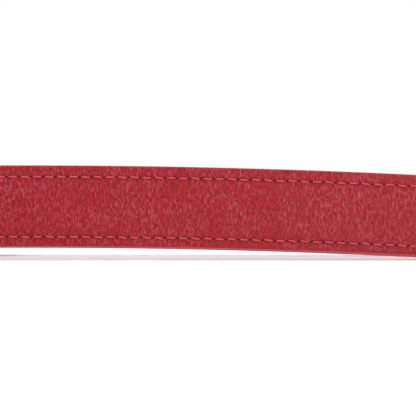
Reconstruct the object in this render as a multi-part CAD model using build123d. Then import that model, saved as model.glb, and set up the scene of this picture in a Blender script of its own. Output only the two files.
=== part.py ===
"""Narrow leather guitar strap, buckled into a coil and standing on its edge.

Two sewn leather straps share one spiral plan. The tail strap runs on the outside and passes through
the buckle, which the main strap carries. Each strap ends in a leather tab with a keyhole for the
instrument's strap button. Millimetres, +Z up, origin at the middle of the plan on the resting plane.
"""
import os
from math import acos, atan2, cos, degrees, hypot, pi, radians, sin

from build123d import *

# ---- strap section -------------------------------------------------------------------------------
STRAP_WIDTH = 25.0
LEATHER = 1.2              # front leather
LINING = 1.4               # lining leather, before its channel is skived
CORE_THICK = 0.4           # reinforcing tape between the two leathers
CORE_WIDTH = 19.0
THREAD = 0.6               # width of a seam's thread
THREAD_PROUD = 0.3
SEAM_INSET = 3.45          # from a strap's edge to the middle of its seam
HALF = (LEATHER + LINING) / 2
BOND = HALF - LEATHER      # height of the face where the two leathers meet
MID_EDGE = STRAP_WIDTH / 2
TIP_ROUND = 12.0           # length of tail over which its tip is rounded
SKIN = HALF + THREAD_PROUD # outermost point of the sewn strap, from its middle
END_MARGIN = 3.0           # seam and tape stop this far short of a square end
HEEL_MARGIN = 2.0          # the main strap's tape stops this far short of the buckle
TIP_MARGIN = 2.0           # seam outside, and tape inside, the start of the rounded tip
LAP_MARGIN = 1.0           # between a seam and the tab or turn that laps over it

# ---- plan of the coil ----------------------------------------------------------------------------
RUN = 245.0                # straight run between the two bends
TAIL_BEND = 45.0           # the tail strap's right-hand bend
LAYER_STEP = 4.6           # the main strap's middle inside the tail strap's
TIP_BEND = 43.3            # left-hand bend that the tail strap's tip follows
MAIN_LEFT_BEND = TIP_BEND - LAYER_STEP
MAIN_RIGHT_BEND = 33.5
TIP_ARC = 29.0             # length of tail strap on the left-hand bend
FRONT_Y = -TAIL_BEND
MAIN_Y = FRONT_Y + LAYER_STEP
BACK_Y = MAIN_Y + 2 * MAIN_LEFT_BEND
INNER_Y = BACK_Y - 2 * MAIN_RIGHT_BEND
LEFT_X = -150.0
RIGHT_X = LEFT_X + RUN
TAIL_END_X = -118.0
MAIN_END_X = -76.0

# ---- lift of the lower edge ----------------------------------------------------------------------
LIFT = 3.7                 # the buckle holds the left side up by this much
SAG_START_X = -55.0
SAG_END_X = 64.0
SAG_RADIUS = 2400.0
PLAN_REACH = 300.0         # past either end of the plan
PLAN_DEPTH = 100.0         # past the front and back of the plan

# ---- buckle --------------------------------------------------------------------------------------
FIT = 0.05                 # radial running fit on the bars
HEEL_X = -96.0
HEEL_R = 1.25
FRONT_BAR_X = HEEL_X + 24.0
FRONT_BAR_R = 1.6
ROLLER_R = 2.3
ROLLER_GAP = 0.4           # between the tail strap's thread and the roller
FRAME_OPENING = 26.0
FRAME_SIDE = 3.2
FRAME_HEIGHT = FRAME_OPENING + 2 * FRAME_SIDE
SIDE_R = 2.2
ROLLER_PLAY = 0.2
PRONG_R = 1.1
PRONG_WIDTH = 2.4
RING_WALL = 1.1
PRONG_REST_GAP = 0.08
PRONG_REST_LIFT = 1.03     # the shank's height over the roller, as a share of touching it
PRONG_TIP_LIFT = 0.92
PRONG_ELBOW = 5.2          # from the heel bar to the bend outside the tail
PRONG_CLEAR = 1.1          # between the tail and the bend
PRONG_OVERHANG = 2.6       # tip past the front bar
MID_Z = FRAME_HEIGHT / 2
FRONT_BAR_Y = FRONT_Y - SKIN - ROLLER_GAP - ROLLER_R

# ---- adjusting holes -----------------------------------------------------------------------------
HOLE_LENGTH = 7.0
HOLE_WIDTH = 3.6
HOLE_PITCH = 20.0
HOLE_COUNT = 4
PUNCH_REACH = 3.0          # of a punch, either side of the strap's middle
TIP_CUT_REACH = 8.0
TIP_SLACK = 0.02           # keeps the rounding clear of the strap's own edges
USED_HOLE_X = HEEL_X + 2.2

# ---- leather turn, keepers, end tabs and fasteners -----------------------------------------------
TURN_WALL = 1.2
TURN_WIDTH = 24.0
TURN_REACH = 23.0
TURN_SLOT = 3.8
TURN_SLOT_REACH = 4.0      # either side of the heel bar
MAIN_START_X = HEEL_X - 5.0
SCREW_X = HEEL_X - 9.5
SCREW_SPACING = 14.0
SCREW_R = 1.5
SCREW_HEAD_R = 3.2
SCREW_HEAD = 0.5
KEEPER_WALL = 1.4
KEEPER_WIDTH = 8.0
KEEPER_ROUND = 1.26        # outer corners
FIXED_KEEPER_X = HEEL_X - 18.0
SLIDER_WIDTH = 10.0
SLIDER_X = HEEL_X - 42.0
KEEPER_GAP = 0.3
STAPLE_WIRE = 0.8
STAPLE_SPAN = 10.0
TAB_WALL = 2.4
TAB_R = FRAME_HEIGHT / 2
TAB_NECK = 24.0
TAB_SQUARE = 0.2           # length of the square end before the sides widen
TAB_LAP = 14.0
BUTTON_R = 3.5
BUTTON_OFFSET = 18.0
SLIT_LENGTH = 10.0
SLIT_WIDTH = 1.0
RIVET_R = 1.5
RIVET_HEAD_R = 3.2
RIVET_HEAD = 0.8
RIVET_SPACING = 10.0
RIVET_INSET = 7.0


def direction(angle):
    """Unit vector in the plan at an angle in degrees."""
    return Vector(cos(radians(angle)), sin(radians(angle)))


class Route:
    """Middle line of a strap in plan: straight runs and left-hand bends, outward on the right."""

    def __init__(self, start, heading, moves):
        self.moves = []
        here = Vector(*start)
        travelled = 0.0
        for length, radius in moves:
            self.moves.append((travelled, length, radius, here, heading))
            here, heading = self.step(here, heading, radius, length)
            travelled += length
        self.length = travelled

    @staticmethod
    def step(here, heading, radius, distance):
        """Point and heading after a distance along one straight run or bend."""
        if radius == 0:
            return here + direction(heading) * distance, heading
        centre = here + direction(heading + 90) * radius
        turned = heading + degrees(distance / radius)
        return centre + direction(turned - 90) * radius, turned

    def at(self, distance):
        """Point and heading at a distance from the start."""
        for start, length, radius, here, heading in self.moves:
            if distance <= start + length + 1e-9:
                return self.step(here, heading, radius, distance - start)
        raise ValueError("past the end of the route")

    def chain(self, out, start, stop):
        """Edges of the middle line moved outward by out, between two distances."""
        edges = []
        for begin, length, radius, here, heading in self.moves:
            low = max(start, begin)
            high = min(stop, begin + length)
            if high - low < 1e-6:
                continue
            stations = [low, (low + high) / 2, high]
            points = []
            for station in stations:
                point, angle = self.step(here, heading, radius, station - begin)
                points.append(point + direction(angle - 90) * out)
            if radius == 0:
                edges.append(Edge.make_line(points[0], points[2]))
            else:
                edges.append(Edge.make_three_point_arc(*points))
        return edges

    def wall(self, inner, outer, start, stop):
        """Solid wall between two offsets, tall enough for any strap edge."""
        inside = self.chain(inner, start, stop)
        outside = self.chain(outer, start, stop)
        ends = [
            Edge.make_line(inside[0] @ 0, outside[0] @ 0),
            Edge.make_line(inside[-1] @ 1, outside[-1] @ 1),
        ]
        face = Face(Wire(inside + outside + ends))
        return Pos(0, 0, -1) * extrude(face, amount=FRAME_HEIGHT + 2, dir=(0, 0, 1))

    def plane(self, distance):
        """Plane on the strap at mid-height: X along the strap, Z outward."""
        point, heading = self.at(distance)
        origin = (point.X, point.Y, MID_Z)
        return Plane(origin=origin, x_dir=direction(heading), z_dir=direction(heading - 90))


def lower_edge(height):
    """Edges of the strap's lower edge line in the XZ plane, raised by a height."""
    slope = (SAG_END_X - SAG_START_X) / SAG_RADIUS
    dropped = SAG_RADIUS * (1 - (1 - slope ** 2) ** 0.5)
    level = LIFT - dropped
    toe_radius = level / (1 - (1 - slope ** 2) ** 0.5)
    toe_x = SAG_END_X + toe_radius * slope
    half_angle = degrees(acos((1 - slope ** 2) ** 0.5)) / 2
    sag_mid_x = SAG_START_X + SAG_RADIUS * sin(radians(half_angle))
    sag_mid_z = LIFT - SAG_RADIUS * (1 - cos(radians(half_angle)))
    toe_mid_x = toe_x - toe_radius * sin(radians(half_angle))
    toe_mid_z = toe_radius * (1 - cos(radians(half_angle)))

    def point(x, z):
        return Vector(x, 0, z + height)

    return [
        Edge.make_line(point(-PLAN_REACH, LIFT), point(SAG_START_X, LIFT)),
        Edge.make_three_point_arc(
            point(SAG_START_X, LIFT), point(sag_mid_x, sag_mid_z), point(SAG_END_X, level)
        ),
        Edge.make_three_point_arc(
            point(SAG_END_X, level), point(toe_mid_x, toe_mid_z), point(toe_x, 0)
        ),
        Edge.make_line(point(toe_x, 0), point(PLAN_REACH, 0)),
    ]


def edge_slab(low, high):
    """Slab across the whole plan between two heights above the strap's lower edge."""
    bottom = lower_edge(low)
    top = lower_edge(high)
    ends = [Edge.make_line(bottom[0] @ 0, top[0] @ 0), Edge.make_line(bottom[-1] @ 1, top[-1] @ 1)]
    face = Face(Wire(bottom + top + ends))
    return extrude(face, amount=PLAN_DEPTH, dir=(0, 1, 0), both=True)


def bar(start, end, radius, low, high):
    """Stadium-shaped bar between two plan points, from one height to another."""
    across = end[0] - start[0]
    along = end[1] - start[1]
    middle = Pos((start[0] + end[0]) / 2, (start[1] + end[1]) / 2, low)
    turned = Rot(0, 0, degrees(atan2(along, across)))
    profile = SlotCenterToCenter(hypot(across, along), 2 * radius)
    return middle * turned * extrude(profile, amount=high - low)


def post(x, y, radius, low, high):
    """Upright round bar."""
    return Pos(x, y, (low + high) / 2) * Cylinder(radius, high - low)


def block(x_range, y_range, z_range):
    """Box between low and high limits on each axis."""
    size = [high - low for low, high in (x_range, y_range, z_range)]
    centre = [(high + low) / 2 for low, high in (x_range, y_range, z_range)]
    return Pos(*centre) * Box(*size)


def pin(x, y_range, z, radius):
    """Round bar along Y."""
    low, high = y_range
    return Pos(x, (low + high) / 2, z) * Rot(90, 0, 0) * Cylinder(radius, high - low)


TAIL = Route(
    (
        LEFT_X + TIP_BEND * cos(-pi / 2 - TIP_ARC / TIP_BEND),
        FRONT_Y + TIP_BEND + TIP_BEND * sin(-pi / 2 - TIP_ARC / TIP_BEND),
    ),
    -degrees(TIP_ARC / TIP_BEND),
    [
        (TIP_ARC, TIP_BEND),
        (RUN, 0),
        (pi * TAIL_BEND, TAIL_BEND),
        (RIGHT_X - TAIL_END_X, 0),
    ],
)
MAIN = Route(
    (MAIN_END_X, INNER_Y),
    0,
    [
        (RIGHT_X - MAIN_END_X, 0),
        (pi * MAIN_RIGHT_BEND, MAIN_RIGHT_BEND),
        (RUN, 0),
        (pi * MAIN_LEFT_BEND, MAIN_LEFT_BEND),
        (MAIN_START_X - LEFT_X, 0),
    ],
)


def seam_rows(route, inner, outer, start, stop):
    """Two rows of thread on one face of a strap."""
    rows = []
    for row in (SEAM_INSET, STRAP_WIDTH - SEAM_INSET):
        slab = edge_slab(row - THREAD / 2, row + THREAD / 2)
        rows.append(route.wall(inner, outer, start, stop) & slab)
    return rows


def strap(route, start, stop, cut, seams):
    """Front leather, core tape, lining and the two thread nodes of one strap."""
    full = edge_slab(0, STRAP_WIDTH)
    core_slab = edge_slab(MID_EDGE - CORE_WIDTH / 2, MID_EDGE + CORE_WIDTH / 2)
    core = route.wall(BOND - CORE_THICK, BOND, *start) & core_slab
    lining = route.wall(-HALF, BOND, *stop) & full
    front = route.wall(BOND, HALF, *stop) & full
    return {
        "front_leather": [front - cut],
        "core_tape": [core - cut],
        "lining_leather": [lining - core - cut],
        "seam_thread_front": seam_rows(route, HALF, SKIN, *seams[0]),
        "seam_thread_back": seam_rows(route, -SKIN, -HALF, *seams[1]),
    }


def tip_waste():
    """Leather cut away to round the tail's tip."""
    plane = TAIL.plane(TIP_ROUND)
    blank = Pos(-TIP_ROUND, 0) * Rectangle(2 * TIP_ROUND, 2 * STRAP_WIDTH)
    rounded = Pos(0, LIFT + MID_EDGE - MID_Z) * Circle(MID_EDGE + TIP_SLACK)
    return extrude(plane * (blank - rounded), amount=TIP_CUT_REACH, both=True)


def adjusting_holes():
    """Oblong holes along the tail, the first one holding the prong."""
    used = TIP_ARC + USED_HOLE_X - LEFT_X
    holes = []
    for number in range(HOLE_COUNT):
        plane = TAIL.plane(used - number * HOLE_PITCH)
        profile = SlotOverall(HOLE_LENGTH, HOLE_WIDTH)
        holes.append(extrude(plane * profile, amount=PUNCH_REACH, both=True))
    return holes


def end_tab(end_x, face_y, side, away):
    """Leather end tab with its keyhole, lying inside the strap and reaching away along X."""
    centre_x = end_x + away * BUTTON_OFFSET
    neck_x = end_x - away * TAB_LAP
    neck = Pos(neck_x, MID_Z) * Rectangle(TAB_SQUARE, TAB_NECK)
    outline = make_hull((Pos(centre_x, MID_Z) * Circle(TAB_R)).edges() + neck.edges())
    slit_x = centre_x - away * (BUTTON_R + SLIT_LENGTH) / 2
    button = Pos(centre_x, MID_Z) * Circle(BUTTON_R)
    slit = Pos(slit_x, MID_Z) * Rectangle(BUTTON_R + SLIT_LENGTH, SLIT_WIDTH)
    profile = outline - button - slit
    solid = extrude(Plane.XZ * profile, amount=-TAB_WALL)
    low = face_y if side > 0 else face_y - TAB_WALL
    return Pos(0, low, 0) * solid


def tab_rivets(end_x, outer_y, inner_y, away):
    """Two rivets through a strap's end and its tab."""
    low, high = sorted((outer_y, inner_y))
    rivets = []
    for offset in (-RIVET_SPACING / 2, RIVET_SPACING / 2):
        x = end_x - away * RIVET_INSET
        z = MID_Z + offset
        shank = pin(x, (low, high), z, RIVET_R)
        heads = [
            pin(x, (low - RIVET_HEAD, low), z, RIVET_HEAD_R),
            pin(x, (high, high + RIVET_HEAD), z, RIVET_HEAD_R),
        ]
        rivets.append(shank + heads)
    return rivets


def keeper_loop(x, width, y_range, z_range):
    """Closed leather loop around the strap, from the limits of its hollow."""
    outer_y = (y_range[0] - KEEPER_WALL, y_range[1] + KEEPER_WALL)
    outer_z = (z_range[0] - KEEPER_WALL, z_range[1] + KEEPER_WALL)
    x_range = (x - width / 2, x + width / 2)
    loop = block(x_range, outer_y, outer_z)
    loop = fillet(loop.edges().filter_by(Axis.X), KEEPER_ROUND)
    return loop - block(x_range, y_range, z_range)


def buckle_turn():
    """Leather turn round the heel bar, with its prong slot."""
    inner = HEEL_R + FIT
    outer = inner + TURN_WALL
    low = MID_Z - TURN_WIDTH / 2
    high = MID_Z + TURN_WIDTH / 2
    far_x = HEEL_X - TURN_REACH
    solid = block((far_x, HEEL_X), (MAIN_Y - outer, MAIN_Y + outer), (low, high))
    solid += post(HEEL_X, MAIN_Y, outer, low, high)
    solid -= block((far_x, HEEL_X), (MAIN_Y - inner, MAIN_Y + inner), (low, high))
    solid -= post(HEEL_X, MAIN_Y, inner, low, high)
    slot_x = (HEEL_X - TURN_SLOT_REACH, HEEL_X + TURN_SLOT_REACH)
    slot_y = (MAIN_Y - TURN_SLOT_REACH, MAIN_Y + TURN_SLOT_REACH)
    slot_z = (MID_Z - TURN_SLOT / 2, MID_Z + TURN_SLOT / 2)
    return solid - block(slot_x, slot_y, slot_z)


def prong_profile():
    """Prong in plan: ring, steep shank through the tail, then a slope onto the roller."""
    reach = ROLLER_R + PRONG_R + PRONG_REST_GAP
    elbow = (HEEL_X + PRONG_ELBOW, FRONT_Y - SKIN - PRONG_R - PRONG_CLEAR)
    rest = (FRONT_BAR_X, FRONT_BAR_Y - reach * PRONG_REST_LIFT)
    tip = (FRONT_BAR_X + PRONG_OVERHANG, FRONT_BAR_Y - reach * PRONG_TIP_LIFT)
    return elbow, rest, tip


def buckle_prong():
    """Prong with its ring round the heel bar."""
    elbow, rest, tip = prong_profile()
    low = MID_Z - PRONG_WIDTH / 2
    high = MID_Z + PRONG_WIDTH / 2
    heel = (HEEL_X, MAIN_Y)
    solid = bar(heel, elbow, PRONG_R, low, high)
    solid += bar(elbow, rest, PRONG_R, low, high)
    solid += bar(rest, tip, PRONG_R, low, high)
    solid += post(*heel, HEEL_R + FIT + RING_WALL, low, high)
    return solid - post(*heel, HEEL_R + FIT, low - 1, high + 1)


def buckle_frame():
    """Frame: two side plates, the heel bar and the front bar."""
    heel = (HEEL_X, MAIN_Y)
    front = (FRONT_BAR_X, FRONT_BAR_Y)
    solid = bar(heel, front, SIDE_R, 0, FRAME_SIDE)
    solid += bar(heel, front, SIDE_R, FRAME_HEIGHT - FRAME_SIDE, FRAME_HEIGHT)
    solid += post(*heel, HEEL_R, 0, FRAME_HEIGHT)
    return solid + post(*front, FRONT_BAR_R, 0, FRAME_HEIGHT)


def buckle_roller():
    """Roller on the front bar."""
    low = FRAME_SIDE + ROLLER_PLAY
    high = FRAME_HEIGHT - FRAME_SIDE - ROLLER_PLAY
    tube = post(FRONT_BAR_X, FRONT_BAR_Y, ROLLER_R, low, high)
    return tube - post(FRONT_BAR_X, FRONT_BAR_Y, FRONT_BAR_R + FIT, low, high)


def turn_screws():
    """Two-part screws through the turn: threaded posts on the inside, flush heads outside."""
    reach = HEEL_R + FIT + TURN_WALL
    posts = []
    heads = []
    for offset in (-SCREW_SPACING / 2, SCREW_SPACING / 2):
        z = MID_Z + offset
        inside = pin(SCREW_X, (MAIN_Y + reach - SCREW_HEAD, MAIN_Y + reach), z, SCREW_HEAD_R)
        barrel = pin(SCREW_X, (MAIN_Y - reach + SCREW_HEAD, MAIN_Y + reach), z, SCREW_R)
        posts.append(inside + barrel)
        outside = (MAIN_Y - reach, MAIN_Y - reach + SCREW_HEAD)
        heads.append(pin(SCREW_X, outside, z, SCREW_HEAD_R))
    return posts, heads


def staple(x, face_y):
    """Staple that closes the fixed keeper on its inner side."""
    crown_z = (MID_Z - STAPLE_SPAN / 2, MID_Z + STAPLE_SPAN / 2)
    x_range = (x - STAPLE_WIRE / 2, x + STAPLE_WIRE / 2)
    solid = block(x_range, (face_y, face_y + STAPLE_WIRE), crown_z)
    legs = [(crown_z[0], crown_z[0] + STAPLE_WIRE), (crown_z[1] - STAPLE_WIRE, crown_z[1])]
    for leg_z in legs:
        solid += block(x_range, (face_y - KEEPER_WALL, face_y), leg_z)
    return solid


def main():
    """Build every piece, centre the plan on the origin and write one file for each node."""
    posts, heads = turn_screws()
    nodes = {}

    tail_rivets = tab_rivets(TAIL_END_X, -FRONT_Y + HALF, -FRONT_Y - HALF - TAB_WALL, -1)
    main_rivets = tab_rivets(MAIN_END_X, INNER_Y - HALF, INNER_Y + HALF + TAB_WALL, -1)
    tail_cut = [tip_waste(), *adjusting_holes(), *tail_rivets]
    tail_stop = (0, TAIL.length)
    tail_core = (TIP_ROUND + TIP_MARGIN, TAIL.length - END_MARGIN)
    lap = TAB_LAP + LAP_MARGIN
    seam_start = TIP_ROUND - TIP_MARGIN
    tail_seams = ((seam_start, TAIL.length - END_MARGIN), (seam_start, TAIL.length - lap))
    tail = strap(TAIL, tail_core, tail_stop, tail_cut, tail_seams)

    seam_stop = MAIN.length - (TURN_REACH - (HEEL_X - MAIN_START_X)) - LAP_MARGIN
    main_core = (END_MARGIN, MAIN.length - HEEL_MARGIN)
    main_cut = [*main_rivets, *posts]
    main_seams = ((END_MARGIN, seam_stop), (lap, seam_stop))
    main_strap = strap(MAIN, main_core, (0, MAIN.length), main_cut, main_seams)

    for name, pieces in tail.items():
        nodes[f"tail_{name}"] = pieces
    for name, pieces in main_strap.items():
        nodes[f"main_{name}"] = pieces

    tail_tab = end_tab(TAIL_END_X, -FRONT_Y - HALF, -1, -1)
    main_tab = end_tab(MAIN_END_X, INNER_Y + HALF, 1, -1)
    nodes["tail_end_tab"] = [tail_tab - tail_rivets]
    nodes["main_end_tab"] = [main_tab - main_rivets]
    nodes["tab_rivets"] = tail_rivets + main_rivets

    nodes["buckle_turn"] = [buckle_turn() - posts - heads]
    nodes["turn_screw_posts"] = posts
    nodes["turn_screw_heads"] = heads
    nodes["buckle_frame"] = [buckle_frame()]
    nodes["buckle_roller"] = [buckle_roller()]
    nodes["buckle_prong"] = [buckle_prong()]

    strap_z = (LIFT - KEEPER_GAP, LIFT + STRAP_WIDTH + KEEPER_GAP)
    outer_y = FRONT_Y - SKIN - KEEPER_GAP
    turn_y = MAIN_Y + HEEL_R + FIT + TURN_WALL
    fixed = keeper_loop(FIXED_KEEPER_X, KEEPER_WIDTH, (outer_y, turn_y), strap_z)
    closing = staple(FIXED_KEEPER_X, turn_y + KEEPER_WALL)
    nodes["fixed_keeper"] = [fixed - closing]
    nodes["keeper_staple"] = [closing]
    slider_y = (outer_y, MAIN_Y + SKIN + KEEPER_GAP)
    nodes["sliding_keeper"] = [keeper_loop(SLIDER_X, SLIDER_WIDTH, slider_y, strap_z)]

    solids = [solid for pieces in nodes.values() for piece in pieces for solid in piece.solids()]
    box = Compound(solids).bounding_box()
    shift = Vector(-box.center().X, -box.center().Y, -box.min.Z)
    os.makedirs("parts", exist_ok=True)
    for name, pieces in nodes.items():
        moved = [Pos(shift) * solid for piece in pieces for solid in piece.solids()]
        shape = moved[0] if len(moved) == 1 else Compound(moved)
        export_step(shape, f"parts/{name}.step")
    report(shift, box)


def report(shift, box):
    """Print the places that mounts and joints are given at."""
    places = {
        "size": box.size,
        "shift": shift,
        "heel bar": shift + Vector(HEEL_X, MAIN_Y, MID_Z),
        "front bar": shift + Vector(FRONT_BAR_X, FRONT_BAR_Y, MID_Z),
        "sliding keeper": shift + Vector(SLIDER_X, (FRONT_Y + MAIN_Y) / 2, MID_Z),
        "tail button": shift + Vector(
            TAIL_END_X - BUTTON_OFFSET, -FRONT_Y - HALF - TAB_WALL / 2, MID_Z
        ),
        "main button": shift + Vector(
            MAIN_END_X - BUTTON_OFFSET, INNER_Y + HALF + TAB_WALL / 2, MID_Z
        ),
    }
    for name, place in places.items():
        print(f"{name}: {place.X:.3f}, {place.Y:.3f}, {place.Z:.3f}")


main()
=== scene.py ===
"""Narrow leather guitar strap, coiled and standing on its edge: leather, stitching, metal and stage."""
from math import cos, pi, radians, sin

import bpy
import numpy as np
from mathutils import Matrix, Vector


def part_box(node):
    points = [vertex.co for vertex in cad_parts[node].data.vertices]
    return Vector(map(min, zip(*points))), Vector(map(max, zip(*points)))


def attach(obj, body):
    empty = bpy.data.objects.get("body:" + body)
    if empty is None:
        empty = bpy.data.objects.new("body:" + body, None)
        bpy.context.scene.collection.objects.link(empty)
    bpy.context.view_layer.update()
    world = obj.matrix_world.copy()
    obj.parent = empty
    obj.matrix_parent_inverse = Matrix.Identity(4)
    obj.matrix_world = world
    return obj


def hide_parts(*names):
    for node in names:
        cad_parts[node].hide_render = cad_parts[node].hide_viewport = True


bl_info = {
    "name": "Guitar strap",
    "version": (1, 0, 0),
    "blender": (4, 5, 0),
    "location": "3D View > Sidebar > Strap",
    "description": "Builds the leather, stitching and metal finish of a coiled guitar strap",
    "category": "Add Mesh",
}

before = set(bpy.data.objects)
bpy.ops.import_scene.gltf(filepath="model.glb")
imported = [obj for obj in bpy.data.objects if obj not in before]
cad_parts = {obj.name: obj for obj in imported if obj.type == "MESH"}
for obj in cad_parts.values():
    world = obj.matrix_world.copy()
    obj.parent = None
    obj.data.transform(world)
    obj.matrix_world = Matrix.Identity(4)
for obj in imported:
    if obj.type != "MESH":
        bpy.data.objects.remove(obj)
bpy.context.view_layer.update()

# ---- strap section, metres -----------------------------------------------------------------------
MM = 0.001
STRAP_WIDTH = 25 * MM
LEATHER = 1.2 * MM
LINING = 1.4 * MM
HALF = (LEATHER + LINING) / 2
BOND = HALF - LEATHER
THREAD_PROUD = 0.3 * MM
SEAM_INSET = 3.45 * MM
MIDDLE = STRAP_WIDTH / 2
SEAM_OFFSET = MIDDLE - SEAM_INSET    # from the strap's middle to a seam

# ---- plan of the coil ----------------------------------------------------------------------------
RUN = 245 * MM
TAIL_BEND = 45 * MM
LAYER_STEP = 4.6 * MM
TIP_BEND = 43.3 * MM
MAIN_LEFT_BEND = TIP_BEND - LAYER_STEP
MAIN_RIGHT_BEND = 33.5 * MM
TIP_ARC = 29 * MM
FRONT_Y = -TAIL_BEND
MAIN_Y = FRONT_Y + LAYER_STEP
BACK_Y = MAIN_Y + 2 * MAIN_LEFT_BEND
INNER_Y = BACK_Y - 2 * MAIN_RIGHT_BEND
LEFT_X = -150 * MM
RIGHT_X = LEFT_X + RUN
TAIL_END_X = -118 * MM
MAIN_END_X = -76 * MM
HEEL_X = -96 * MM
MAIN_START_X = HEEL_X - 5 * MM
TURN_REACH = 23 * MM
TAB_LAP = 14 * MM

# ---- lift of the lower edge ----------------------------------------------------------------------
LIFT = 3.7 * MM
SAG_START_X = -55 * MM
SAG_END_X = 64 * MM
SAG_RADIUS = 2.4
SAG_SLOPE = (SAG_END_X - SAG_START_X) / SAG_RADIUS
TOE_LEVEL = LIFT - SAG_RADIUS * (1 - (1 - SAG_SLOPE ** 2) ** 0.5)
TOE_RADIUS = TOE_LEVEL / (1 - (1 - SAG_SLOPE ** 2) ** 0.5)
TOE_X = SAG_END_X + TOE_RADIUS * SAG_SLOPE

# ---- holes ---------------------------------------------------------------------------------------
HOLE_LENGTH = 7 * MM
HOLE_WIDTH = 3.6 * MM
HOLE_PITCH = 20 * MM
HOLE_COUNT = 4
USED_HOLE_X = HEEL_X + 2.2 * MM
MID_Z = 16.2 * MM
TIP_ROUND = 12 * MM
TIP_BLUNT = 0.96                     # keeps a short flat at the very tip
PUNCH_DEPTH = 8 * MM

# ---- ends of the seams ---------------------------------------------------------------------------
END_MARGIN = 3 * MM
TIP_MARGIN = 2 * MM
LAP_MARGIN = 1 * MM

# ---- surface of the leather ----------------------------------------------------------------------
EDGE_ROUND = 0.5 * MM
EDGE_GAP = 0.2 * MM                  # least space between the rounded edge and the next mesh line
LAST_STEP = 0.6                      # share of a step that may remain at the upper edge
SEAM_BAND = 1.2 * MM                 # either side of a seam where the mesh is finer
SEAM_STEP = 0.3 * MM
RELIEF_FADE = 1.2 * MM               # from the edge, over which the relief comes in
SEAM_DEPTH = 0.13 * MM
PUCKER_DEPTH = 0.09 * MM
SEAM_SPREAD = 0.75 * MM
PILLOW_DEPTH = 0.05 * MM
PILLOW_PLACE = 2 * MM                # from a seam to the crown of the leather beside it
PILLOW_SPREAD = 1 * MM
WAVE_DEPTH = 0.05 * MM
WAVE_ALONG = 210                     # the waves' turns are in radians a metre
WAVE_UP = 300
WAVE_SHEAR = 37
WAVE_BEND = 160
WAVE_WANDER = 9
RIM_LEFT = 0.42 * MM                 # lining that shows below the front leather, at the left
RIM_GAIN = 0.55 * MM                 # and how much more of it shows at the right
RIM_FADE = 2 * MM

# ---- stitches and awl holes ----------------------------------------------------------------------
STITCH_SHARE = 0.80                  # of the pitch
STITCH_FULLNESS = 3.5                # how squarely a stitch ends
STITCH_SLANT = 0.13 * MM
STITCH_DIVE = 0.22 * MM              # how far the ends of a stitch go into the leather
STITCH_SINK = 0.05 * MM
STITCH_DRIFT = 0.06 * MM
STITCH_LEAN = 0.05
GOLDEN_ANGLE = 2.39996
AWL_SLOPE = 1.5
AWL_LENGTH = 0.62 * MM               # from the middle of an awl hole
AWL_HEIGHT = 0.36 * MM
TROUGH = 1.1 * MM
PLY_PITCH = 0.30 * MM
TAPE_YARN = 0.5 * MM

# ---- tabs and keepers ----------------------------------------------------------------------------
MERGE_DISTANCE = 0.005 * MM
FLAT_ANGLE = radians(2)              # faces that turn less than this are made one
CUT_ANGLE = radians(50)              # edges that turn more than this are rounded
SMOOTH_ANGLE = radians(40)

# The plan above has its own origin; the CAD model's is the middle of its plan.
TAIL_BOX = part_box("tail_front_leather")
SHIFT_X = TAIL_BOX[1].x - (RIGHT_X + TAIL_BEND + HALF)
SHIFT_Y = TAIL_BOX[1].y - (TAIL_BEND + HALF)


class Route:
    """Middle line of a strap in plan: straight runs and left-hand bends, outward on the right."""

    def __init__(self, x, y, heading, moves):
        self.moves = []
        travelled = 0.0
        for length, radius in moves:
            self.moves.append((travelled, length, radius, x, y, heading))
            end_x, end_y, end_heading = self.step(x, y, heading, radius, np.array([length]))
            x, y, heading = float(end_x[0]), float(end_y[0]), float(end_heading[0])
            travelled += length
        self.length = travelled

    @staticmethod
    def step(x, y, heading, radius, distance):
        """Places and headings after distances along one straight run or bend."""
        if radius == 0:
            turned = np.full_like(distance, heading)
            return x + distance * cos(heading), y + distance * sin(heading), turned
        turned = heading + distance / radius
        return (
            x - radius * sin(heading) + radius * np.sin(turned),
            y + radius * cos(heading) - radius * np.cos(turned),
            turned,
        )

    def lay(self, flat):
        """Take points laid out flat, as along, up and out, to their places on the coil."""
        along, up, out = flat[:, 0], flat[:, 1], flat[:, 2]
        placed = np.empty_like(flat)
        for number, (start, length, radius, x, y, heading) in enumerate(self.moves):
            here = along >= start if number else np.full(len(along), True)
            if number < len(self.moves) - 1:
                here &= along < start + length
            line_x, line_y, turned = self.step(x, y, heading, radius, along[here] - start)
            placed[here, 0] = line_x + out[here] * np.sin(turned)
            placed[here, 1] = line_y - out[here] * np.cos(turned)
        placed[:, 2] = lower_edge(placed[:, 0]) + up
        placed[:, 0] += SHIFT_X
        placed[:, 1] += SHIFT_Y
        return placed


def lower_edge(x):
    """Height of the strap's lower edge above the table."""
    sag = LIFT - (SAG_RADIUS - np.sqrt(SAG_RADIUS ** 2 - np.clip(x - SAG_START_X, 0, 1) ** 2))
    toe = TOE_RADIUS - np.sqrt(TOE_RADIUS ** 2 - np.clip(TOE_X - x, 0, TOE_RADIUS) ** 2)
    return np.where(x < SAG_END_X, sag, toe)


TAIL = Route(
    LEFT_X + TIP_BEND * cos(-pi / 2 - TIP_ARC / TIP_BEND),
    FRONT_Y + TIP_BEND + TIP_BEND * sin(-pi / 2 - TIP_ARC / TIP_BEND),
    -TIP_ARC / TIP_BEND,
    [(TIP_ARC, TIP_BEND), (RUN, 0), (pi * TAIL_BEND, TAIL_BEND), (RIGHT_X - TAIL_END_X, 0)],
)
MAIN = Route(
    MAIN_END_X,
    INNER_Y,
    0,
    [
        (RIGHT_X - MAIN_END_X, 0),
        (pi * MAIN_RIGHT_BEND, MAIN_RIGHT_BEND),
        (RUN, 0),
        (pi * MAIN_LEFT_BEND, MAIN_LEFT_BEND),
        (MAIN_START_X - LEFT_X, 0),
    ],
)
ROUTES = {"tail": TAIL, "main": MAIN}
STAGE_FACE_Y = FRONT_Y + SHIFT_Y - HALF


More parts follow.
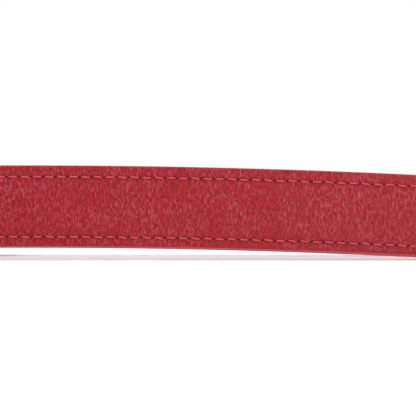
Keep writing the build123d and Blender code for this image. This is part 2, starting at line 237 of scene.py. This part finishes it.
# ---- shader arithmetic ---------------------------------------------------------------------------
class Wire:
    """An output socket that takes part in arithmetic."""

    def __init__(self, tree, socket):
        self.tree = tree
        self.socket = socket

    def math(self, operation, *others, swap=False):
        """Math node on this value and others; swap puts this one last."""
        node = self.tree.nodes.new("ShaderNodeMath")
        node.operation = operation
        values = [self, *others]
        if swap:
            values.reverse()
        for entry, value in zip(node.inputs, values):
            connect(self.tree, entry, value)
        return Wire(self.tree, node.outputs[0])

    def __add__(self, other):
        return self.math("ADD", other)

    def __radd__(self, other):
        return self.math("ADD", other, swap=True)

    def __sub__(self, other):
        return self.math("SUBTRACT", other)

    def __rsub__(self, other):
        return self.math("SUBTRACT", other, swap=True)

    def __mul__(self, other):
        return self.math("MULTIPLY", other)

    def __rmul__(self, other):
        return self.math("MULTIPLY", other, swap=True)

    def __truediv__(self, other):
        return self.math("DIVIDE", other)


def connect(tree, entry, value):
    """Link a wire to a socket, or set the socket's own value."""
    if isinstance(value, Wire):
        tree.links.new(value.socket, entry)
    else:
        entry.default_value = value


class Finish:
    """One material, with its principled shader and its node tree."""

    # Sockets of a Mix node set to colours, whose names repeat.
    MIX_FACTOR = 0
    MIX_FIRST = 6
    MIX_SECOND = 7
    MIX_RESULT = 2

    def __init__(self, name, constants):
        self.material = bpy.data.materials.new(name)
        self.material.use_nodes = True
        self.tree = self.material.node_tree
        self.shader = self.tree.nodes["Principled BSDF"]
        for socket, value in constants.items():
            self.shader.inputs[socket].default_value = value

    def node(self, kind, settings=None, inputs=None, output=0):
        """Any node: settings first, then the values or links of its sockets."""
        node = self.tree.nodes.new(kind)
        for key, value in (settings or {}).items():
            if key == "stops":
                ramp = node.color_ramp.elements
                while len(ramp) < len(value):
                    ramp.new(0.5)
                for element, (position, level) in zip(ramp, value):
                    element.position = position
                    element.color = (level, level, level, 1)
            else:
                setattr(node, key, value)
        for socket, value in (inputs or {}).items():
            connect(self.tree, node.inputs[socket], value)
        return Wire(self.tree, node.outputs[output])

    def feed(self, socket, value):
        """Give the shader one of its inputs."""
        connect(self.tree, self.shader.inputs[socket], value)

    def ramp(self, value, stops):
        """Grey ramp through stops of position and level."""
        return self.node("ShaderNodeValToRGB", {"stops": stops}, {0: value})

    def blend(self, factor, first, second):
        """Colour between two colours."""
        inputs = {self.MIX_FACTOR: factor, self.MIX_FIRST: first, self.MIX_SECOND: second}
        return self.node("ShaderNodeMix", {"data_type": "RGBA"}, inputs, output=self.MIX_RESULT)

    def split(self, vector):
        """Three wires from a vector."""
        first = self.node("ShaderNodeSeparateXYZ", None, {0: vector})
        return [Wire(self.tree, entry) for entry in first.socket.node.outputs]

    def combine(self, x, y, z=0.0):
        """Vector from three values."""
        return self.node("ShaderNodeCombineXYZ", None, {0: x, 1: y, 2: z})

    def noise(self, vector, scale, detail=2.0, roughness=0.5, distortion=0.0):
        """Soft cloudy pattern from 0 to 1."""
        inputs = {
            "Vector": vector,
            "Scale": scale,
            "Detail": detail,
            "Roughness": roughness,
            "Distortion": distortion,
        }
        return self.node("ShaderNodeTexNoise", None, inputs)

    def cells(self, vector, scale):
        """Distance to the middle of the nearest cell."""
        return self.node("ShaderNodeTexVoronoi", None, {"Vector": vector, "Scale": scale})

    def bump(self, height, distance, strength=1.0):
        """Raise the surface's shading by a height."""
        inputs = {"Height": height, "Distance": distance, "Strength": strength}
        self.feed("Normal", self.node("ShaderNodeBump", None, inputs))


def paint(red, green, blue):
    """Linear colour from the usual 0 to 255 display values."""
    levels = []
    for value in (red, green, blue):
        level = value / 255
        levels.append(level / 12.92 if level <= 0.04045 else ((level + 0.055) / 1.055) ** 2.4)
    return (*levels, 1.0)


def flat_places(finish):
    """Along, up and out on a strap, as it lay before it was bent."""
    flat = finish.node("ShaderNodeAttribute", {"attribute_name": "flat"}, output="Vector")
    return finish.split(flat)


def standing_places(finish):
    """Along, up and out on an upright piece."""
    place = finish.node("ShaderNodeTexCoord", output="Object")
    x, y, z = finish.split(place)
    return [x, z, y]


# ---- leather -------------------------------------------------------------------------------------
def awl_holes(finish, along, up):
    """Masks of the slanting awl holes and of the shallow trough that each seam pulls down, used to paint
    shade into the colour.
    """
    pitch = bpy.context.scene.strap_settings.stitch_pitch
    phase = (along / pitch + 0.5).math("FRACT") - 0.5
    middle = up - MIDDLE
    row = middle.math("ABSOLUTE") - SEAM_OFFSET
    across = row * middle.math("SIGN")
    lean = (phase * pitch - across * AWL_SLOPE) / AWL_LENGTH
    height = across / AWL_HEIGHT
    hole = finish.ramp(lean * lean + height * height, [(0.45, 1.0), (1.0, 0.0)])
    trough_shade = finish.ramp((row / TROUGH).math("ABSOLUTE"), [(0.25, 1.0), (1.0, 0.0)])
    return hole, trough_shade


def grained_leather(name, places, deep, pale, roughness, seams=False):
    """Dyed leather with a fine pebbled grain, creases across its length and paler stretches of painted
    sheen.
    """
    settings = bpy.context.scene.strap_settings
    finish = Finish(name, {"Specular IOR Level": 0.16})
    along, up, out = places(finish)

    pebble = finish.cells(finish.combine(along, up * 0.75, out), scale=1500.0)
    speckle = finish.cells(finish.combine(along, up * 0.7, out), scale=620.0)
    mottle = finish.noise(
        finish.combine(along, up * 0.7, out), scale=1550.0, detail=3.0, roughness=0.62, distortion=0.4
    )
    patches = finish.noise(finish.combine(along, up * 0.8, out), scale=110.0, detail=3.0, roughness=0.6)
    drift = finish.noise(finish.combine(along, up, out), scale=60.0) * 0.006
    creases = finish.noise(
        finish.combine(along + drift, up * 0.28, out), scale=2300.0, roughness=0.6, distortion=0.8
    )
    streaks = finish.ramp(creases, [(0.47, 0.0), (0.65, 1.0)])
    crowd = finish.ramp(patches, [(0.34, 0.45), (0.68, 1.0)])
    marks = streaks * crowd
    specks = finish.ramp(speckle, [(0.07, 1.0), (0.17, 0.0)])
    # Paler stretches that repeat along the strap are painted sheen; the crease marks mixed in with them
    # are the leather's own.
    painted_sheen = 0.5 - 0.5 * ((along - 0.10) / 0.30 * 2 * pi).math("COSINE")

    dimple = finish.ramp(pebble, [(0.15, 0.0), (0.65, 1.0)])
    tone = finish.ramp(mottle * 0.75 + dimple * 0.25, [(0.34, 0.0), (0.66, 1.0)])
    base = finish.blend(tone, deep, settings.leather_color[:])
    creased_and_sheen = finish.blend(marks * 0.58 + painted_sheen * 0.06, base, pale)
    colour = finish.blend(specks * crowd * 0.3, creased_and_sheen, pale)
    height = tone * 0.6 + marks * 0.5 - dimple * 0.35

    if seams:
        hole, trough_shade = awl_holes(finish, along, up)
        # Painted shade: the colour darkens in each seam's trough and turns nearly black in the awl
        # holes.
        colour = finish.blend(trough_shade * 0.28, colour, deep)
        colour = finish.blend(hole * 0.93, colour, paint(44, 4, 12))
        height = height - hole * 2.0
    finish.feed("Base Color", colour)
    finish.feed("Roughness", roughness + tone * 0.08 - marks * 0.05)
    finish.bump(height, distance=0.09 * MM, strength=0.75)
    return finish.material


def smooth_lining(name, places, colour, edge):
    """Smooth lining leather with faint fibres, paler and burnished along its cut edges, with painted
    shade in its seam troughs and awl holes.
    """
    finish = Finish(name, {"Specular IOR Level": 0.25})
    along, up, out = places(finish)
    place = finish.combine(along, up, out)
    fibres = finish.noise(place, scale=900.0, detail=4.0, roughness=0.65, distortion=1.2)
    cloudy = finish.noise(place, scale=90.0)
    tone = finish.ramp(fibres, [(0.3, 0.0), (0.7, 1.0)])
    darker = tuple(value * 0.72 for value in colour[:3]) + (1.0,)
    body = finish.blend(tone * 0.7 + cloudy * 0.3, darker, colour)
    hole, trough_shade = awl_holes(finish, along, up)
    # Painted shade darkens each seam's trough and fills each awl hole with a near black colour.
    body = finish.blend(hole * 0.85, finish.blend(trough_shade * 0.25, body, darker), paint(36, 6, 10))
    rim = finish.ramp((up - MIDDLE).math("ABSOLUTE") / MIDDLE, [(0.905, 0.0), (0.925, 1.0)])
    finish.feed("Base Color", finish.blend(rim, body, edge))
    finish.feed("Roughness", 0.62 + tone * 0.12)
    finish.bump(tone, distance=0.05 * MM, strength=0.6)
    return finish.material


def sewing_thread(name):
    """Two-ply waxed thread with its twist, and painted shade in the grooves between the plies."""
    settings = bpy.context.scene.strap_settings
    finish = Finish(name, {"Roughness": 0.5, "Specular IOR Level": 0.35})
    along, up, out = flat_places(finish)
    twist = ((along * 0.75 + up) / PLY_PITCH).math("FRACT")
    ply = finish.ramp(twist, [(0.0, 0.0), (0.5, 1.0), (1.0, 0.0)])
    wear = finish.noise(finish.combine(along, up, out), scale=420.0)
    bright = settings.thread_color[:]
    shade = tuple(value * 0.62 for value in bright[:3]) + (1.0,)
    # The ply stripes paint shade into the grooves between the plies; the wear noise varies the tone at
    # random.
    finish.feed("Base Color", finish.blend(ply * 0.6 + wear * 0.4, shade, bright))
    finish.bump(ply, distance=0.05 * MM, strength=0.7)
    return finish.material


def woven_tape(name):
    """Plain woven reinforcing tape."""
    finish = Finish(name, {"Roughness": 0.8})
    x, z, y = standing_places(finish)
    weft = (x / TAPE_YARN).math("FRACT")
    warp = (z / TAPE_YARN).math("FRACT")
    weave = finish.ramp((weft - 0.5) * (warp - 0.5) * 4.0 + 0.5, [(0.2, 0.0), (0.8, 1.0)])
    finish.feed("Base Color", finish.blend(weave, paint(172, 160, 140), paint(214, 206, 190)))
    finish.bump(weave, distance=0.08 * MM, strength=0.6)
    return finish.material


def nickel_plate(name, tint, polish):
    """Nickel-plated metal with a soft brushed variation and light handling marks."""
    finish = Finish(name, {"Metallic": 1.0})
    x, z, y = standing_places(finish)
    brushed = finish.noise(finish.combine(x * 0.2, z, y * 0.2), scale=2600.0, detail=3.0, roughness=0.6)
    cloud = finish.noise(finish.combine(x, z, y), scale=160.0, detail=3.0, roughness=0.6)
    handling = finish.noise(finish.combine(x, z * 4.0, y), scale=700.0)
    marks = finish.ramp(handling, [(0.6, 0.0), (0.72, 1.0)])
    dull = tuple(value * 0.78 for value in tint[:3]) + (1.0,)
    finish.feed("Base Color", finish.blend(cloud, dull, tint))
    finish.feed("Roughness", polish + brushed * 0.10 + marks * 0.08)
    finish.bump(brushed + marks * 0.5, distance=0.01 * MM, strength=0.4)
    return finish.material


def table_top(name):
    """Plain pale table."""
    finish = Finish(name, {"Specular IOR Level": 0.1})
    place = finish.node("ShaderNodeTexCoord", output="Object")
    cloud = finish.noise(place, scale=6.0)
    tint = bpy.context.scene.stage_settings.table_color[:]
    finish.feed("Base Color", finish.blend(cloud * 0.15, tint, (0.9, 0.9, 0.9, 1.0)))
    finish.feed("Roughness", 0.85 + cloud * 0.05)
    return finish.material


# ---- modelling helpers ---------------------------------------------------------------------------
def alone(piece):
    """Select one object and nothing else."""
    bpy.ops.object.select_all(action="DESELECT")
    piece.select_set(True)
    bpy.context.view_layer.objects.active = piece


def apply_all(piece):
    """Apply every modifier on a piece, in order."""
    alone(piece)
    for modifier in list(piece.modifiers):
        bpy.ops.object.modifier_apply(modifier=modifier.name)


def places_of(piece):
    """Vertex places of a mesh as an array."""
    places = np.empty(len(piece.data.vertices) * 3)
    piece.data.vertices.foreach_get("co", places)
    return places.reshape(-1, 3)


def set_places(piece, places):
    """Move a mesh's vertices to new places."""
    piece.data.vertices.foreach_set("co", places.astype(np.float32).ravel())
    piece.data.update()


def keep_flat_places(piece):
    """Store where each vertex lay before the piece was bent."""
    attribute = piece.data.attributes.new("flat", "FLOAT_VECTOR", "POINT")
    attribute.data.foreach_set("vector", places_of(piece).astype(np.float32).ravel())


def bend_onto_coil(piece, route):
    """Bend a flat piece along its route and keep its flat places for the materials."""
    keep_flat_places(piece)
    set_places(piece, route.lay(places_of(piece)))
    piece.data.shade_smooth()


def finish_piece(piece, material, slot, body, *nodes):
    """Give a piece its material and its body, and hide the CAD nodes that it stands for."""
    piece.data.materials.clear()
    piece.data.materials.append(material)
    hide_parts(*nodes)
    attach(piece, body)


# ---- strap leathers ------------------------------------------------------------------------------
def section_points(inner, outer, step):
    """Points round a strap's section, as up and out: lower edge, outer face, upper edge, inner face."""
    corner = [radians(angle) for angle in (0, 30, 60, 90)]
    lower = [(EDGE_ROUND * (1 - cos(a)), outer - EDGE_ROUND * (1 - sin(a))) for a in corner]
    upper = [(STRAP_WIDTH - up, out) for up, out in reversed(lower)]
    face = []
    up = EDGE_ROUND
    top = STRAP_WIDTH - EDGE_ROUND
    while up < top - step * LAST_STEP:
        near_seam = abs(abs(up - MIDDLE) - SEAM_OFFSET) < SEAM_BAND
        up += SEAM_STEP if near_seam else step
        if up < top - EDGE_GAP:
            face.append((up, outer))
    back = [(STRAP_WIDTH, inner), (MIDDLE, inner), (0.0, inner)]
    return np.array(lower + face + upper + back)


def facing(up, out, outer):
    """How far a point of the section belongs to the outer face, from 0 at the edges to 1."""
    from_edge = np.minimum(up, STRAP_WIDTH - up)
    on_face = np.isclose(out, outer, rtol=0, atol=1e-6)
    return np.clip(from_edge / RELIEF_FADE, 0, 1) * on_face


def leather_relief(along, up):
    """Relief of a sewn leather face: seams pulled down, puckers between stitches, soft waves."""
    pitch = bpy.context.scene.strap_settings.stitch_pitch
    row = np.abs(np.abs(up - MIDDLE) - SEAM_OFFSET)
    pucker = 0.5 + 0.5 * np.cos(2 * pi * along / pitch)
    seam = (SEAM_DEPTH + PUCKER_DEPTH * pucker) * np.exp(-((row / SEAM_SPREAD) ** 2))
    pillow = PILLOW_DEPTH * pucker * np.exp(-(((row - PILLOW_PLACE) / PILLOW_SPREAD) ** 2))
    wander = WAVE_WANDER * np.sin(up * WAVE_BEND)
    wave = np.sin(along * WAVE_ALONG + wander) * np.sin(up * WAVE_UP + along * WAVE_SHEAR)
    return WAVE_DEPTH * wave - seam - pillow


def exposed_rim(along):
    """How much of the lining's lower edge shows below the front leather; more towards the right."""
    share = np.clip((along - TIP_ARC) / RUN, 0, 1)
    return RIM_LEFT + RIM_GAIN * share


def strap_leather(name, route, inner, outer, rows_per_stitch, step, outward):
    """One leather of a strap, built flat. Outward is 1 for the front leather and -1 for the lining."""
    pitch = bpy.context.scene.strap_settings.stitch_pitch
    count = int(route.length / pitch * rows_per_stitch)
    stations = np.linspace(0, route.length, count + 1)
    section = section_points(inner, outer, step)
    size = len(section)
    along = np.repeat(stations, size)
    up = np.tile(section[:, 0], count + 1)
    out = np.tile(section[:, 1], count + 1)
    out = out + leather_relief(along, up) * facing(up, out, outer)
    if outward > 0:
        near_low = np.clip(1 - up / RIM_FADE, 0, 1)
        up = up + exposed_rim(along) * near_low
    else:
        out = -out
    if route is TAIL:
        reach = np.clip(TIP_ROUND - along, 0, TIP_ROUND)
        half = np.sqrt(MIDDLE ** 2 - reach ** 2 * TIP_BLUNT)
        up = MIDDLE + (up - MIDDLE) * half / MIDDLE

    start = (np.arange(count)[:, None] * size + np.arange(size)[None, :]).ravel()
    turn = (np.arange(count)[:, None] * size + (np.arange(size)[None, :] + 1) % size).ravel()
    quads = np.stack([start, start + size, turn + size, turn], axis=1)
    caps = [list(range(size)), list(range(count * size + size - 1, count * size - 1, -1))]
    faces = quads.tolist() + caps
    if outward < 0:
        faces = [face[::-1] for face in faces]
    mesh = bpy.data.meshes.new(name)
    mesh.from_pydata(np.stack([along, up, out], axis=1).tolist(), [], faces)
    mesh.update()
    piece = bpy.data.objects.new(name, mesh)
    bpy.context.collection.objects.link(piece)
    return piece


def hole_punch():
    """Oblong punches for the adjusting holes, laid out along the flat tail."""
    used = TIP_ARC + USED_HOLE_X - LEFT_X
    bpy.ops.object.select_all(action="DESELECT")
    bpy.ops.mesh.primitive_cylinder_add(
        vertices=32, radius=HOLE_WIDTH / 2, depth=PUNCH_DEPTH, location=(used, MID_Z - LIFT, 0)
    )
    punch = bpy.context.object
    bpy.ops.object.transform_apply(location=True, rotation=True, scale=True)
    places = places_of(punch)
    places[:, 0] += np.sign(np.round(places[:, 0] - used, 6)) * (HOLE_LENGTH - HOLE_WIDTH) / 2
    set_places(punch, places)
    copies = punch.modifiers.new("Copies", "ARRAY")
    copies.count = HOLE_COUNT
    copies.use_relative_offset = False
    copies.use_constant_offset = True
    copies.constant_offset_displace = (-HOLE_PITCH, 0, 0)
    apply_all(punch)
    return punch


def punch_holes(piece, punch):
    """Cut the adjusting holes through a leather."""
    cut = piece.modifiers.new("Holes", "BOOLEAN")
    cut.operation = "DIFFERENCE"
    cut.solver = "EXACT"
    cut.object = punch
    apply_all(piece)


def seam_stitches(name, face, start, stop):
    """Stitches of one face of a strap: one is modelled and repeated along both rows, left flat for the
    caller to bend.
    """
    settings = bpy.context.scene.strap_settings
    pitch = settings.stitch_pitch
    first = int(start / pitch) + 1
    count = int(stop / pitch) - first
    length = pitch * STITCH_SHARE
    bpy.ops.object.select_all(action="DESELECT")
    bpy.ops.mesh.primitive_uv_sphere_add(segments=8, ring_count=6, radius=1, rotation=(0, pi / 2, 0))
    piece = bpy.context.object
    piece.name = name
    bpy.ops.object.transform_apply(location=True, rotation=True, scale=True)
    unit = places_of(piece)
    shape = unit.copy()
    full = np.clip(1 - np.abs(unit[:, 0]) ** STITCH_FULLNESS, 0, 1)
    girth = np.sqrt(full / np.clip(1 - unit[:, 0] ** 2, 1e-6, 1))
    shape[:, 0] = unit[:, 0] * length / 2
    shape[:, 1] = unit[:, 1] * girth * settings.thread_width / 2 - unit[:, 0] * STITCH_SLANT
    shape[:, 2] = unit[:, 2] * girth * THREAD_PROUD - np.abs(unit[:, 0]) ** 3 * STITCH_DIVE
    shape[:, 0] += (first + 0.5) * pitch
    shape[:, 1] += SEAM_INSET
    set_places(piece, shape)
    along_row = piece.modifiers.new("Along the row", "ARRAY")
    along_row.count = count
    along_row.use_relative_offset = False
    along_row.use_constant_offset = True
    along_row.constant_offset_displace = (pitch, 0, 0)
    second_row = piece.modifiers.new("Second row", "ARRAY")
    second_row.count = 2
    second_row.use_relative_offset = False
    second_row.use_constant_offset = True
    second_row.constant_offset_displace = (0, 2 * SEAM_OFFSET, 0)
    apply_all(piece)
    places = places_of(piece)
    number = np.floor(places[:, 0] / pitch)
    upper = places[:, 1] > MIDDLE
    # Each stitch lies and leans a little differently, and the two rows differ too.
    drift = np.sin(number * GOLDEN_ANGLE + upper * 1.7)
    lean = np.sin(number * 4.1 + upper * 0.9)
    centre = (number + 0.5) * pitch
    places[:, 1] += drift * STITCH_DRIFT + lean * STITCH_LEAN * (places[:, 0] - centre)
    if face > 0:
        places[:, 2] = face - STITCH_SINK + places[:, 2]
    else:
        places[:, 2] = face + STITCH_SINK - places[:, 2]
        alone(piece)
        bpy.ops.object.mode_set(mode="EDIT")
        bpy.ops.mesh.select_all(action="SELECT")
        bpy.ops.mesh.flip_normals()
        bpy.ops.object.mode_set(mode="OBJECT")
    set_places(piece, places)
    return piece


def softened(name, node, width):
    """A leather piece with the CAD node's shape and its cut edges rounded over."""
    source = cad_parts[node]
    alone(source)
    bpy.ops.object.duplicate()
    piece = bpy.context.object
    piece.name = name
    bpy.ops.object.mode_set(mode="EDIT")
    bpy.ops.mesh.select_all(action="SELECT")
    bpy.ops.mesh.remove_doubles(threshold=MERGE_DISTANCE)
    bpy.ops.mesh.dissolve_limited(angle_limit=FLAT_ANGLE)
    bpy.ops.object.mode_set(mode="OBJECT")
    edge = piece.modifiers.new("Edge", "BEVEL")
    edge.width = width
    edge.segments = 3
    edge.limit_method = "ANGLE"
    edge.angle_limit = CUT_ANGLE
    apply_all(piece)
    bpy.ops.object.shade_smooth_by_angle(angle=SMOOTH_ANGLE)
    return piece


# ---- settings ------------------------------------------------------------------------------------
class StrapSettings(bpy.types.PropertyGroup):
    """Sizes and colours of the strap's sewn leather."""

    stitch_pitch: bpy.props.FloatProperty(
        name="Stitch pitch",
        description="Distance from one stitch to the next",
        default=3.67 * MM,
        min=2 * MM,
        max=8 * MM,
        unit="LENGTH",
    )
    thread_width: bpy.props.FloatProperty(
        name="Thread width",
        description="Width of a stitch",
        default=0.50 * MM,
        min=0.3 * MM,
        max=1.2 * MM,
        unit="LENGTH",
    )
    edge_softness: bpy.props.FloatProperty(
        name="Edge softness",
        description="How far the cut edges of the tabs and keepers are rounded",
        default=0.4 * MM,
        min=0.1 * MM,
        max=0.8 * MM,
        unit="LENGTH",
    )
    leather_color: bpy.props.FloatVectorProperty(
        name="Leather",
        description="Colour of the dyed front leather",
        default=paint(147, 4, 23),
        size=4,
        min=0,
        max=1,
        subtype="COLOR",
    )
    thread_color: bpy.props.FloatVectorProperty(
        name="Thread",
        description="Colour of the seam thread",
        default=paint(208, 64, 78),
        size=4,
        min=0,
        max=1,
        subtype="COLOR",
    )


class StageSettings(bpy.types.PropertyGroup):
    """The table, the lights and the camera."""

    table_color: bpy.props.FloatVectorProperty(
        name="Table",
        description="Colour of the table",
        default=(0.93, 0.93, 0.925, 1.0),
        size=4,
        min=0,
        max=1,
        subtype="COLOR",
    )
    light_power: bpy.props.FloatProperty(
        name="Light power",
        description="Power of the overhead light",
        default=6.0,
        min=0,
        unit="POWER",
    )
    camera_distance: bpy.props.FloatProperty(
        name="Camera distance",
        description="Distance from the camera to the strap's front face",
        default=0.25,
        min=0.1,
        unit="LENGTH",
    )


# ---- operators -----------------------------------------------------------------------------------
class STRAP_OT_leathers(bpy.types.Operator):
    """Front leathers and linings of both straps"""

    bl_idname = "strap.leathers"
    bl_label = "Strap leathers"

    def execute(self, context):
        deep = paint(107, 2, 15)
        pale = paint(176, 89, 95)
        front = grained_leather("red_grained_leather", flat_places, deep, pale, 0.50, seams=True)
        lining = smooth_lining("red_lining_leather", flat_places, paint(130, 26, 38), paint(190, 84, 91))
        for strap, route in ROUTES.items():
            face = strap_leather(
                f"{strap}_front", route, BOND, HALF, rows_per_stitch=8, step=1.2 * MM, outward=1
            )
            back = strap_leather(
                f"{strap}_lining", route, -BOND, HALF, rows_per_stitch=4, step=2 * MM, outward=-1
            )
            if route is TAIL:
                punch = hole_punch()
                for leather in (face, back):
                    punch_holes(leather, punch)
                bpy.data.objects.remove(punch)
            for leather in (face, back):
                bend_onto_coil(leather, route)
            finish_piece(face, front, "red_leather", "strap", f"{strap}_front_leather")
            finish_piece(back, lining, "lining_leather", "strap", f"{strap}_lining_leather")
        return {"FINISHED"}


class STRAP_OT_stitching(bpy.types.Operator):
    """Stitches on both faces of both straps"""

    bl_idname = "strap.stitching"
    bl_label = "Seam stitching"

    def execute(self, context):
        thread = sewing_thread("waxed_thread")
        under_turn = MAIN.length - (TURN_REACH - (HEEL_X - MAIN_START_X)) - LAP_MARGIN
        under_tab = TAB_LAP + LAP_MARGIN
        near_tip = TIP_ROUND - TIP_MARGIN
        seams = {
            "tail": [(near_tip, TAIL.length - END_MARGIN), (near_tip, TAIL.length - under_tab)],
            "main": [(END_MARGIN, under_turn), (under_tab, under_turn)],
        }
        for strap, route in ROUTES.items():
            for side, face, limits in zip(("front", "back"), (HALF, -HALF), seams[strap]):
                seam = seam_stitches(f"{strap}_stitches_{side}", face, *limits)
                bend_onto_coil(seam, route)
                finish_piece(seam, thread, "thread", "strap", f"{strap}_seam_thread_{side}")
        return {"FINISHED"}


class STRAP_OT_fittings(bpy.types.Operator):
    """End tabs, buckle turn and keepers"""

    bl_idname = "strap.fittings"
    bl_label = "Tabs, turn and keepers"

    def execute(self, context):
        settings = context.scene.strap_settings
        deep = paint(116, 5, 20)
        leather = grained_leather("tab_leather", standing_places, deep, paint(166, 84, 89), 0.48)
        bodies = {
            "tail_end_tab": "strap",
            "main_end_tab": "strap",
            "buckle_turn": "strap",
            "fixed_keeper": "strap",
            "sliding_keeper": "slider",
        }
        for node, body in bodies.items():
            piece = softened(f"{node}_leather", node, settings.edge_softness)
            finish_piece(piece, leather, "red_leather", body, node)
        return {"FINISHED"}


class STRAP_OT_metal(bpy.types.Operator):
    """Finish of the metal pieces and of the tape between the leathers"""

    bl_idname = "strap.metal"
    bl_label = "Metal and tape"

    def execute(self, context):
        satin = nickel_plate("nickel_satin", paint(206, 202, 194), 0.26)
        bright = nickel_plate("nickel_bright", paint(222, 219, 212), 0.16)
        tape = woven_tape("woven_tape")
        finishes = {
            "buckle_frame": satin,
            "buckle_prong": satin,
            "buckle_roller": bright,
            "tab_rivets": bright,
            "turn_screw_posts": bright,
            "turn_screw_heads": bright,
            "keeper_staple": satin,
            "tail_core_tape": tape,
            "main_core_tape": tape,
        }
        for node, material in finishes.items():
            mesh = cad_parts[node].data
            mesh.materials.clear()
            mesh.materials.append(material)
        return {"FINISHED"}


class STRAP_OT_stage(bpy.types.Operator):
    """Table, soft lights and camera"""

    bl_idname = "strap.stage"
    bl_label = "Stage"

    def execute(self, context):
        settings = context.scene.stage_settings
        bpy.ops.object.select_all(action="DESELECT")
        bpy.ops.mesh.primitive_grid_add(x_subdivisions=4, y_subdivisions=4, size=8)
        table = context.object
        table.name = "table"
        table.data.materials.append(table_top("pale_table"))

        # Place, what it is turned to, share of the light power, and size in metres.
        lights = {
            "overhead": ((SHIFT_X, -0.14, 0.8), (SHIFT_X, -0.08, 0), 1.0, 0.6),
            "behind": ((SHIFT_X + 0.1, 0.45, 0.40), (SHIFT_X, -0.02, 0), 0.1, 0.5),
            "front_fill": ((SHIFT_X - 0.25, -0.75, 0.45), (SHIFT_X, -0.04, 0.01), 0.06, 0.8),
        }
        for name, (place, aim, share, size) in lights.items():
            self.soft_light(name, place, aim, settings.light_power * share, size)

        world = bpy.data.worlds.new("studio")
        world.use_nodes = True
        background = world.node_tree.nodes["Background"]
        background.inputs["Color"].default_value = (1.0, 1.0, 1.0, 1.0)
        background.inputs["Strength"].default_value = 1.0
        context.scene.world = world

        eye_height = 23 * MM
        aim_height = 15.85 * MM
        seen_width = 125.3 * MM
        side_offset = 0.9 * MM
        middle = SHIFT_X - side_offset
        aim = Vector((middle, STAGE_FACE_Y, aim_height))
        place = Vector((middle, STAGE_FACE_Y - settings.camera_distance, eye_height))
        bpy.ops.object.camera_add(location=place)
        camera = context.object
        camera.name = "camera"
        camera.rotation_euler = (aim - place).to_track_quat("-Z", "Y").to_euler()
        camera.data.lens = camera.data.sensor_width * settings.camera_distance / seen_width
        camera.data.clip_start = 0.01
        camera.data.dof.use_dof = False
        context.scene.camera = camera
        context.scene.view_settings.view_transform = "Standard"
        return {"FINISHED"}

    @staticmethod
    def soft_light(name, place, aim, power, size):
        """Square area light at a place, turned to what it lights."""
        bpy.ops.object.light_add(type="AREA", location=place)
        light = bpy.context.object
        light.name = name
        light.data.energy = power
        light.data.size = size
        light.rotation_euler = (Vector(aim) - Vector(place)).to_track_quat("-Z", "Y").to_euler()


class STRAP_PT_panel(bpy.types.Panel):
    """Sidebar panel of the guitar strap"""

    bl_label = "Guitar strap"
    bl_idname = "STRAP_PT_panel"
    bl_space_type = "VIEW_3D"
    bl_region_type = "UI"
    bl_category = "Strap"

    def draw(self, context):
        for operator in OPERATORS:
            self.layout.operator(operator.bl_idname)
        for group in (context.scene.strap_settings, context.scene.stage_settings):
            for name in group.__annotations__:
                self.layout.prop(group, name)


OPERATORS = (STRAP_OT_stage, STRAP_OT_leathers, STRAP_OT_stitching, STRAP_OT_fittings, STRAP_OT_metal)
CLASSES = (StrapSettings, StageSettings, *OPERATORS, STRAP_PT_panel)


def register():
    for entry in CLASSES:
        bpy.utils.register_class(entry)
    bpy.types.Scene.strap_settings = bpy.props.PointerProperty(type=StrapSettings)
    bpy.types.Scene.stage_settings = bpy.props.PointerProperty(type=StageSettings)


def unregister():
    del bpy.types.Scene.stage_settings
    del bpy.types.Scene.strap_settings
    for entry in reversed(CLASSES):
        bpy.utils.unregister_class(entry)


def main():
    """Build the whole scene."""
    register()
    bpy.ops.strap.stage()
    bpy.ops.strap.leathers()
    bpy.ops.strap.stitching()
    bpy.ops.strap.fittings()
    bpy.ops.strap.metal()


if __name__ == "__main__":
    main()
